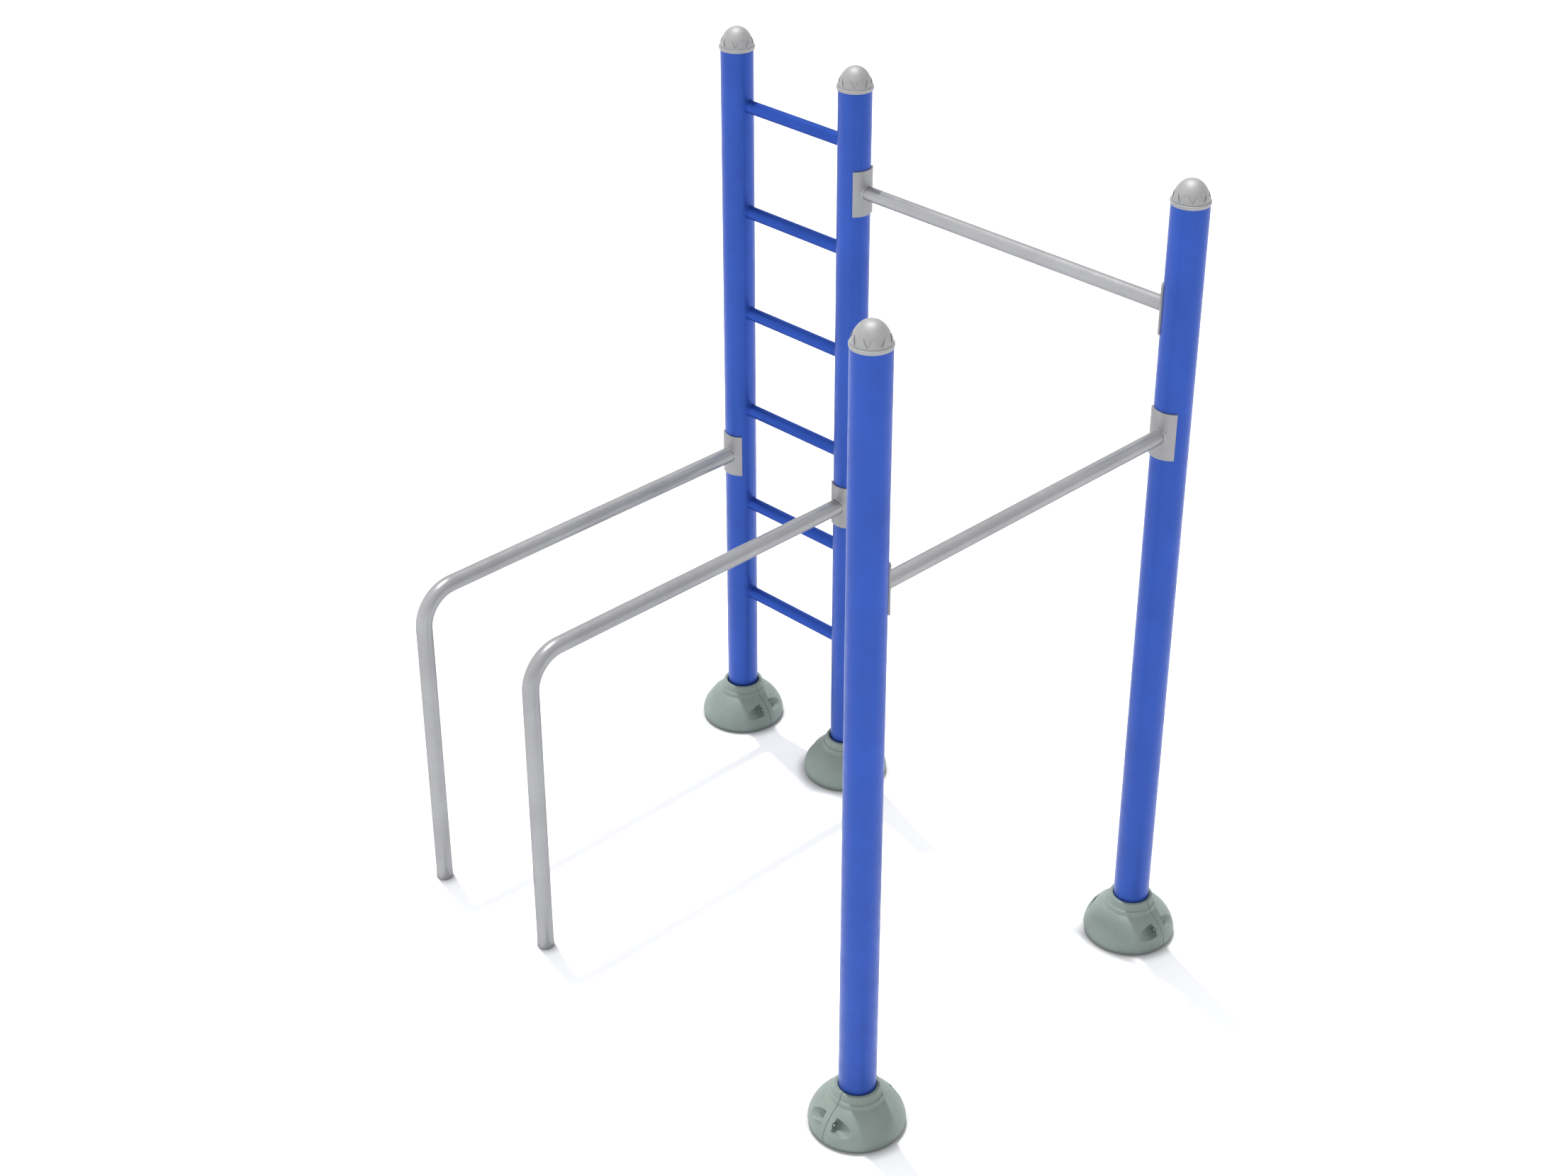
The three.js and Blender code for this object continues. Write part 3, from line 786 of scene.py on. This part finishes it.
def inset_profile(profile, amount):
    """The outline moved inwards, for the broken edge along the seam."""
    pts = np.array(profile)
    out = []
    for i in range(len(pts)):
        a, b = pts[max(i - 1, 0)], pts[min(i + 1, len(pts) - 1)]
        t = (b - a) / np.linalg.norm(b - a)
        out.append((pts[i][0] - t[1] * amount, pts[i][1] + t[0] * amount))
    return out


def half_cover(recess):
    """One half, on the +Y side of the seam, in millimetres round its own post axis."""
    outside, inside = cover_outside(), cover_inside()
    full = outside + inside
    broken = inset_profile(outside, SEAM_EDGE) + inside

    def ring_at(profile, offset, side):
        return [(side * math.sqrt(max(r * r - offset * offset, 0)), offset, z) for r, z in profile]

    rows = [ring_at(broken, SEAM, 1), ring_at(full, SEAM + SEAM_EDGE, 1)]
    for a in np.linspace(0, math.pi, COVER_STEPS + 1)[1:-1]:
        rows.append([(r * math.cos(a), max(r * math.sin(a), SEAM + 0.6), z) for r, z in full])
    rows += [ring_at(full, SEAM + SEAM_EDGE, -1), ring_at(broken, SEAM, -1)]
    shape = Shape()
    shape.grid(rows)
    shape.face(rows[0])
    shape.face(rows[-1])
    shell = object_from("half", shape.bmesh())

    pocket_x, pocket_z = POCKET_LINE
    bolt_x, bolt_z = BOLT_LINE
    body = [(max(r, 1.0), z) for r, z in inset_profile(outside, 1.2)]
    body = [(0.0, body[0][1]), *body, (0.0, body[-1][1])]
    for side in (1, -1):
        x = side * pocket_x
        start, stop = (x, SEAM + 0.2, pocket_z), (x, BOSS_DEPTH, pocket_z)
        boss = rod(POCKET_RADIUS + BOSS_WALL, start, stop, 64)
        filled = object_from("filled", revolve(body, COVER_STEPS, closed=False).bmesh())
        boolean(boss, filled, "INTERSECT")
        boolean(shell, boss, "UNION")
        pocket = rod(POCKET_RADIUS, (x, 0, pocket_z), (x, POCKET_LENGTH, pocket_z), 96)
        slant = Matrix.Identity(4)
        slant[0][1] = side * POCKET_SLANT
        pocket.data.transform(Matrix.Translation((0, POCKET_SEAT, 0)) @ slant)
        boolean(shell, pocket, "DIFFERENCE")
        seat_cut = (recess[0], POCKET_SEAT - recess[1], POCKET_SEAT + 1)
        for radius, start, stop in (seat_cut, (BOLT_HOLE, -1, POCKET_SEAT)):
            cut = rod(radius, (side * bolt_x, start, bolt_z), (side * bolt_x, stop, bolt_z), 48)
            boolean(shell, cut, "DIFFERENCE")
    return shell


COLLAR_FOOT = 100.0
VOXEL = 0.75
SOFT_PASSES = 14
KEPT_FACES = 0.12


def soften(obj):
    """Melts the cut rims into rounded moulded edges, leaving the collar and the seam crisp."""
    remesh = obj.modifiers.new("even", "REMESH")
    remesh.mode = "VOXEL"
    remesh.voxel_size = VOXEL
    apply_modifiers(obj)
    melted = obj.vertex_groups.new(name="melted")
    for vertex in obj.data.vertices:
        below = min(1.0, max(0.0, (COLLAR_FOOT - vertex.co.z) / 3))
        inside = min(1.0, max(0.0, (vertex.co.y - SEAM - 0.8) / 2))
        melted.add([vertex.index], below * inside, "REPLACE")
    round_over = obj.modifiers.new("round", "SMOOTH")
    round_over.factor = 0.5
    round_over.iterations = SOFT_PASSES
    round_over.vertex_group = "melted"
    thin_out = obj.modifiers.new("thin", "DECIMATE")
    thin_out.ratio = KEPT_FACES
    apply_modifiers(obj)


masters = {"nut_half": half_cover(NUT_RECESS), "bolt_half": half_cover(HEAD_RECESS)}
for master in masters.values():
    soften(master)


def placed_half(name, half, x, y, turn, flip):
    bm = bmesh.new()
    bm.from_mesh(masters[half].data)
    place = Matrix.Translation((x, y, 0)) @ Matrix.Rotation(turn, 4, "Z")
    place = place @ Matrix.Diagonal((MM, -MM if flip else MM, MM, 1))
    bmesh.ops.transform(bm, matrix=place, verts=bm.verts[:])
    if flip:
        bmesh.ops.reverse_faces(bm, faces=bm.faces[:])
    node = f"base_cover_{name}_{half}"
    return piece(f"cover_{name}_{half}", bm, COVER, "cover_plastic", node, sharp=32)


def cover_turn(name):
    """The end post's cover is split the other way."""
    size = size_of(f"base_cover_{name}_nut_half")
    return 0.0 if size[0] > size[1] else math.pi / 2


for name in POSTS:
    x, y, _ = post_at(name)
    turn = cover_turn(name)
    placed_half(name, "nut_half", x, y, turn, False)
    placed_half(name, "bolt_half", x, y, turn, True)
for master in masters.values():
    bpy.data.objects.remove(master, do_unlink=True)

# ---------------------------------------------------------------- bolts and nuts

HEX_SIDES = 96
HEX_FLAT = 5.5
HEX_CHAMFER = math.radians(28)
HEAD_HEIGHT = 4.5
NUT_HEIGHT = 5.5
SEAT_GAP = 0.3
BOLT_RADIUS = 3.1
BOLT_TIP = 1.5
THREAD_SIDES = 24
THREAD_PITCH = 1.0
THREAD_DEPTH = 0.55
THREAD_LENGTH = 6
HEAD_SEAT = POCKET_SEAT - HEAD_RECESS[1] + SEAT_GAP
NUT_SEAT = POCKET_SEAT - NUT_RECESS[1] + SEAT_GAP


def hex_ring(turn):
    corner = (turn + math.pi / 6) % (math.pi / 3) - math.pi / 6
    return HEX_FLAT / math.cos(corner)


def hex_body(shape, low, high, chamfer_low, chamfer_high, hole, place):
    """A hexagonal body along local Y with turned chamfers. hole is the bore radius, or 0."""
    turns = np.linspace(0, 2 * math.pi, HEX_SIDES, endpoint=False)

    def ring(radius_of, y_of):
        points = [(radius_of(t) * math.sin(t), y_of(t), radius_of(t) * math.cos(t)) for t in turns]
        return [place(p) for p in points]

    face = HEX_FLAT * 0.95

    def drop(t, on):
        return (hex_ring(t) - face) * math.tan(HEX_CHAMFER) if on else 0.0

    rings = [
        ring(lambda t: max(hole, 0.01), lambda t: low),
        ring(lambda t: face, lambda t: low),
        ring(hex_ring, lambda t: low + drop(t, chamfer_low)),
        ring(hex_ring, lambda t: high - drop(t, chamfer_high)),
        ring(lambda t: face, lambda t: high),
        ring(lambda t: max(hole, 0.01), lambda t: high),
    ]
    shape.grid(rings, close_rows=hole > 0)
    if hole == 0:
        shape.face(rings[0])
        shape.face(rings[-1])


def threaded(shape, low, high, start, place):
    """A shank along local Y with a helical thread from start to high."""
    step = THREAD_PITCH / 6
    rows = []
    levels = [low, start] + list(np.arange(start + step, high, step)) + [high]
    for y in levels:
        row = []
        for k in range(THREAD_SIDES):
            t = 2 * math.pi * k / THREAD_SIDES
            phase = (y / THREAD_PITCH + k / THREAD_SIDES) % 1.0
            depth = THREAD_DEPTH * (1 - abs(2 * phase - 1)) if y > start else 0.0
            end = 0.6 if y == high else 0.0
            r = BOLT_RADIUS - depth - end
            row.append(place((r * math.sin(t), y, r * math.cos(t))))
        rows.append(row)
    shape.grid(rows)
    shape.face(rows[0])
    shape.face(rows[-1])


def fastener_place(name, side):
    px, py, _ = post_at(name)
    z = centre_of(f"cover_bolt_{name}_{side}")[2]
    turn = cover_turn(name)
    c, s = math.cos(turn), math.sin(turn)
    along = 1 if side == "near" else -1
    ox, oy = px + c * along * BOLT_LINE[0] * MM, py + s * along * BOLT_LINE[0] * MM

    def place(p):
        return ox + (p[0] * c - p[1] * s) * MM, oy + (p[0] * s + p[1] * c) * MM, z + p[2] * MM

    return place


for name in POSTS:
    for side in ("near", "far"):
        place = fastener_place(name, side)
        bolt = Shape()
        hex_body(bolt, -HEAD_SEAT - HEAD_HEIGHT, -HEAD_SEAT, True, False, 0, place)
        tip = NUT_SEAT + NUT_HEIGHT + BOLT_TIP
        threaded(bolt, -HEAD_SEAT - 1, tip, NUT_SEAT - THREAD_LENGTH, place)
        node = f"cover_bolt_{name}_{side}"
        piece(f"bolt_{name}_{side}", bolt, ZINC, "fastener_zinc", node, sharp=20)
        nut = Shape()
        hex_body(nut, NUT_SEAT, NUT_SEAT + NUT_HEIGHT, True, True, BOLT_RADIUS + 0.2, place)
        node = f"cover_nut_{name}_{side}"
        piece(f"nut_{name}_{side}", nut, ZINC, "fastener_zinc", node, sharp=20)


# ---------------------------------------------------------------- floor, lights and camera


FLOOR_SPAN = 40.0
FLOOR_DROP = 0.0005
# How far the painted shade on the floor reaches from what stands on it.
PAINTED_SHADE_REACH = 0.04


def pale_floor():
    """A pale floor with painted shade, darker right beside what stands on it."""
    material, tree, bsdf = new_material("pale_floor")
    cloud = noise(tree, 1.5, 3.0, 0.5)
    grain = noise(tree, 240.0, 2.0, 0.7)
    colour = ramp(tree, cloud, [(0.3, (0.875, 0.88, 0.89, 1)), (0.7, (0.90, 0.905, 0.915, 1))])
    fleck = ramp(tree, grain, [(0.3, (0.95, 0.95, 0.95, 1)), (0.7, (1.0, 1.0, 1.0, 1))])
    colour = blend_colour(tree, "MULTIPLY", 0.6, colour, fleck)
    # Painted shade: ambient occlusion darkens the floor colour beside the covers, posts and legs.
    occlusion_for_shade = tree.nodes.new("ShaderNodeAmbientOcclusion")
    occlusion_for_shade.inputs["Distance"].default_value = PAINTED_SHADE_REACH
    stops = [(0.3, (0.42, 0.42, 0.42, 1)), (0.68, (0.62, 0.62, 0.62, 1)), (0.93, (1, 1, 1, 1))]
    painted_contact_shade = ramp(tree, occlusion_for_shade.outputs["AO"], stops)
    tree.links.new(blend_colour(tree, "MULTIPLY", 1.0, colour, painted_contact_shade), bsdf.inputs["Base Color"])
    bsdf.inputs["Roughness"].default_value = 0.9
    bsdf.inputs["Specular IOR Level"].default_value = 0.1
    shape = Shape()
    near = [(-FLOOR_SPAN, -FLOOR_SPAN, 0), (FLOOR_SPAN, -FLOOR_SPAN, 0)]
    far = [(-FLOOR_SPAN, FLOOR_SPAN, 0), (FLOOR_SPAN, FLOOR_SPAN, 0)]
    shape.grid([near, far], close_cols=False)
    floor = object_from("floor", shape.bmesh())
    floor.data.materials.append(material)
    floor.location.z = -FLOOR_DROP
    return floor


pale_floor()

SUN_FROM = math.radians(164)
SUN_HEIGHT = math.radians(78)
sun = bpy.data.objects.new("sun", bpy.data.lights.new("sun", "SUN"))
sun.data.energy = 2.9
sun.data.angle = math.radians(1.5)
towards = Vector(
    (
        math.cos(SUN_HEIGHT) * math.cos(SUN_FROM),
        math.cos(SUN_HEIGHT) * math.sin(SUN_FROM),
        math.sin(SUN_HEIGHT),
    )
)
sun.rotation_euler = towards.to_track_quat("Z", "Y").to_euler()
bpy.context.scene.collection.objects.link(sun)


def soft_surround(strength, swing, heading):
    """A pale surround that is brighter towards one heading, like one large soft light."""
    world = bpy.data.worlds.new("surround")
    world.use_nodes = True
    tree = world.node_tree
    background = tree.nodes["Background"]
    background.inputs["Color"].default_value = (0.985, 0.99, 1.0, 1)
    coords = tree.nodes.new("ShaderNodeTexCoord")
    towards_light = tree.nodes.new("ShaderNodeVectorMath")
    towards_light.operation = "DOT_PRODUCT"
    towards_light.inputs[1].default_value = (math.cos(heading), math.sin(heading), 0)
    level = tree.nodes.new("ShaderNodeMapRange")
    level.inputs["From Min"].default_value = -1
    level.inputs["From Max"].default_value = 1
    level.inputs["To Min"].default_value = strength * (1 - swing)
    level.inputs["To Max"].default_value = strength * (1 + swing)
    tree.links.new(coords.outputs["Generated"], towards_light.inputs[0])
    tree.links.new(towards_light.outputs["Value"], level.inputs["Value"])
    tree.links.new(level.outputs["Result"], background.inputs["Strength"])
    return world


bpy.context.scene.world = soft_surround(1.22, 0.3, math.radians(225))

CAMERA_DOWN = 31.02
camera = bpy.data.objects.new("camera", bpy.data.cameras.new("camera"))
camera.data.lens = 59.22
camera.data.sensor_width = 36
camera.data.clip_end = 200
camera.location = (3.9933, -4.0319, 4.3983)
camera.rotation_euler = (math.radians(90 - CAMERA_DOWN), 0, math.radians(45))
bpy.context.scene.collection.objects.link(camera)
bpy.context.scene.camera = camera
bpy.context.scene.view_settings.view_transform = "Standard"
